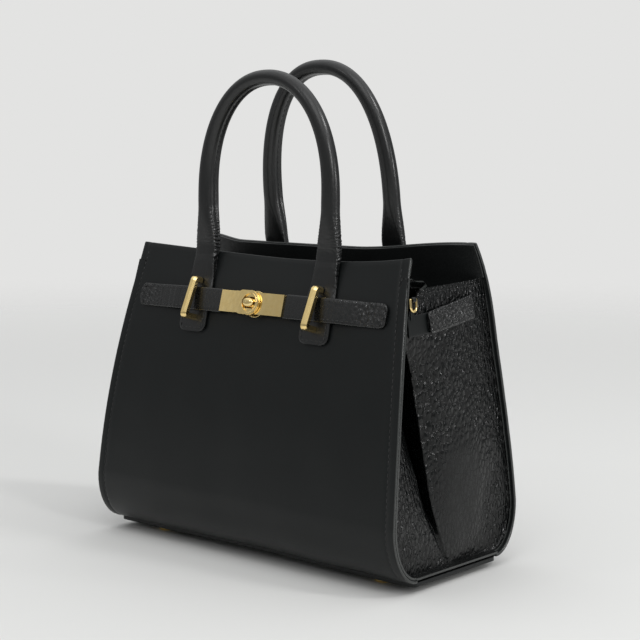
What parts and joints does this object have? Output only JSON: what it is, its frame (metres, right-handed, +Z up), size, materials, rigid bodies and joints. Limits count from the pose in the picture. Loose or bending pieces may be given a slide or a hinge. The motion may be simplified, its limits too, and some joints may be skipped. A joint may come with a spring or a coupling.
{
  "type": "top handle bag",
  "caption": "Black leather top handle bag with a turn-lock belt, pleated side gussets, rolled handles and gold feet.",
  "frame": {"origin": "centre of the bag at floor level, under the feet", "axes": "+Z up, -Y is the front with the belt and lock, +X is the right side seen from the front"},
  "size_m": [0.3, 0.146, 0.3645],
  "materials": {
    "smooth_leather": "satin",
    "grained_leather": "pebbled satin",
    "lining": "matte",
    "board": "matte",
    "cord": "matte",
    "gold_metal": "polished"
  },
  "bodies": {
    "bag": {"front_panel": "smooth_leather", "back_panel": "smooth_leather", "left_gusset": "grained_leather", "right_gusset": "grained_leather", "base_panel": "smooth_leather", "base_board": "board", "front_lining": "lining", "back_lining": "lining", "base_lining": "lining", "front_facing": "smooth_leather", "back_facing": "smooth_leather", "foot_front_left": "gold_metal", "foot_front_right": "gold_metal", "foot_back_left": "gold_metal", "foot_back_right": "gold_metal", "foot_washers": "gold_metal", "front_left_patch": "grained_leather", "front_right_patch": "grained_leather", "back_left_patch": "grained_leather", "back_right_patch": "grained_leather", "left_bridge": "gold_metal", "right_bridge": "gold_metal", "belt_left": "grained_leather", "belt_right": "grained_leather", "lock_base": "gold_metal", "left_side_strap": "grained_leather", "right_side_strap": "grained_leather", "left_strap_tab": "smooth_leather", "right_strap_tab": "smooth_leather", "left_ring_loop": "smooth_leather", "right_ring_loop": "smooth_leather"},
    "front_handle": {"front_handle": "grained_leather", "front_handle_core": "cord"},
    "back_handle": {"back_handle": "grained_leather", "back_handle_core": "cord"},
    "left_clasp": {"belt_left_tongue": "grained_leather", "clasp_plate_left": "gold_metal", "clasp_boss": "gold_metal"},
    "right_clasp": {"belt_right_tongue": "grained_leather", "clasp_plate_right": "gold_metal"},
    "turn_knob": {"turn_knob": "gold_metal"},
    "left_ring": {"left_ring": "gold_metal"},
    "right_ring": {"right_ring": "gold_metal"}
  },
  "joints": [
    {"name": "turn_knob", "type": "hinge", "parent": "bag", "child": "turn_knob", "pos_m": [0, -0.04797, 0.188], "axis": [0, -0.9673, 0.2538], "range_deg": [0, 90]},
    {"name": "left_clasp", "type": "hinge", "parent": "bag", "child": "left_clasp", "pos_m": [-0.0456, -0.0529, 0.18929], "axis": [0, -0.2538, -0.9673], "range_deg": [0, 40], "stiffness_Nm_per_rad": 0.05},
    {"name": "right_clasp", "type": "hinge", "parent": "bag", "child": "right_clasp", "pos_m": [0.0456, -0.0529, 0.18929], "axis": [0, 0.2538, 0.9673], "range_deg": [0, 20], "stiffness_Nm_per_rad": 0.05},
    {"name": "front_handle", "type": "hinge", "parent": "bag", "child": "front_handle", "pos_m": [0, -0.04071, 0.22376], "axis": [1, 0, 0], "range_deg": [-14, 75], "stiffness_Nm_per_rad": 0.15},
    {"name": "back_handle", "type": "hinge", "parent": "bag", "child": "back_handle", "pos_m": [0, 0.03917, 0.22876], "axis": [-1, 0, 0], "range_deg": [-6, 80], "stiffness_Nm_per_rad": 0.15},
    {"name": "left_ring", "type": "hinge", "parent": "bag", "child": "left_ring", "pos_m": [-0.13611, -0.03866, 0.1999], "axis": [0, 1, 0], "range_deg": [0, 100]},
    {"name": "right_ring", "type": "hinge", "parent": "bag", "child": "right_ring", "pos_m": [0.13611, -0.03866, 0.1999], "axis": [0, -1, 0], "range_deg": [0, 100]}
  ],
  "couplings": [
    {"joint": "right_clasp", "follows": "left_clasp", "ratio": 0.5}
  ]
}
